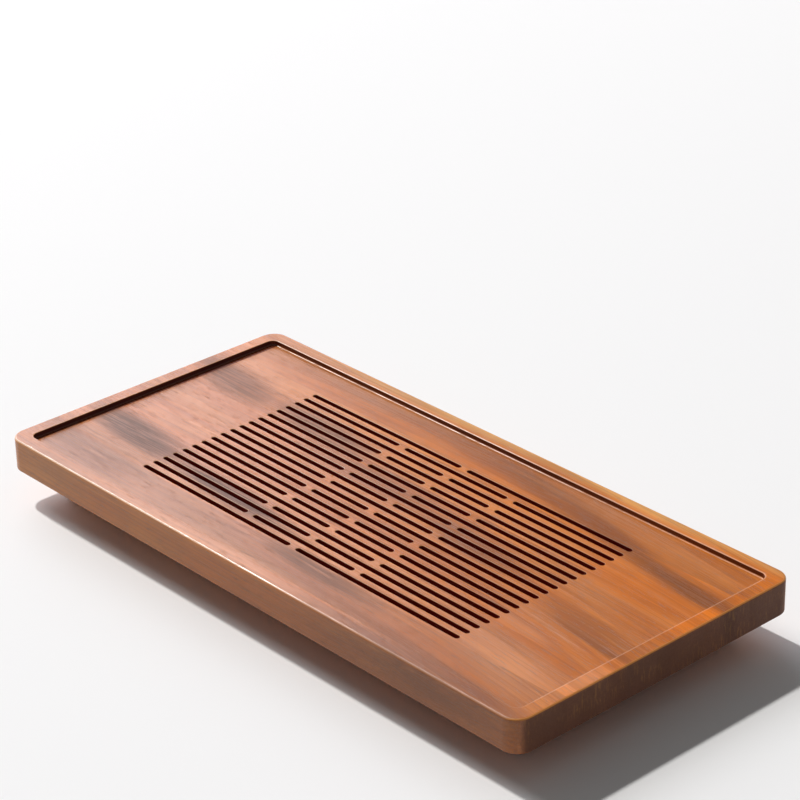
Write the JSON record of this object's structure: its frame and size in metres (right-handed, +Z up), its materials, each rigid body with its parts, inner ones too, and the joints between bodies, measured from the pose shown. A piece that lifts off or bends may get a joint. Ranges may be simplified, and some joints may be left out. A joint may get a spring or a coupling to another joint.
{
  "type": "tea tray",
  "caption": "Low rectangular walnut tea tray: a slotted, sunken deck with a raised rim on an inset base, and a shallow drip drawer that pulls out at one end.",
  "frame": {"origin": "centre of the tray's outline on the surface that its feet stand on", "axes": "+X along the slab towards the end where the drawer opens, +Y across it away from the person who pours, +Z up"},
  "size_m": [0.5, 0.24, 0.047],
  "materials": {
    "walnut_slab": "satin oil, fine straight grain with darker streaks",
    "walnut_base": "satin oil",
    "walnut_drawer": "satin oil",
    "birch_plywood": "plain sanded",
    "beech": "plain turned",
    "screw_steel": "zinc plated",
    "pan_steel": "brushed stainless sheet",
    "glide_nylon": "matte",
    "bumper_rubber": "matte",
    "foot_rubber": "matte"
  },
  "bodies": {
    "tray": {"slab_stave_1": "walnut_slab", "slab_stave_2": "walnut_slab", "slab_stave_3": "walnut_slab", "slab_stave_4": "walnut_slab", "slab_stave_5": "walnut_slab", "slab_stave_6": "walnut_slab", "slab_batten_left": "walnut_base", "slab_batten_right": "walnut_base", "base_front_rail": "walnut_base", "base_back_rail": "walnut_base", "base_end_rail": "walnut_base", "base_bottom_board": "birch_plywood", "frame_dowels": "beech", "slab_screws": "screw_steel", "batten_screws": "screw_steel", "drawer_glide_front": "glide_nylon", "drawer_glide_back": "glide_nylon", "drawer_bumpers": "bumper_rubber", "foot_front_left": "foot_rubber", "foot_front_right": "foot_rubber", "foot_back_left": "foot_rubber", "foot_back_right": "foot_rubber"},
    "drawer": {"drawer_front": "walnut_drawer", "drawer_back": "walnut_drawer", "drawer_side_front": "walnut_drawer", "drawer_side_back": "walnut_drawer", "drawer_pins": "beech", "drip_pan": "pan_steel"}
  },
  "joints": [
    {"name": "drawer_slide", "type": "slide", "parent": "tray", "child": "drawer", "axis": [1, 0, 0], "range_m": [0, 0.4]}
  ]
}
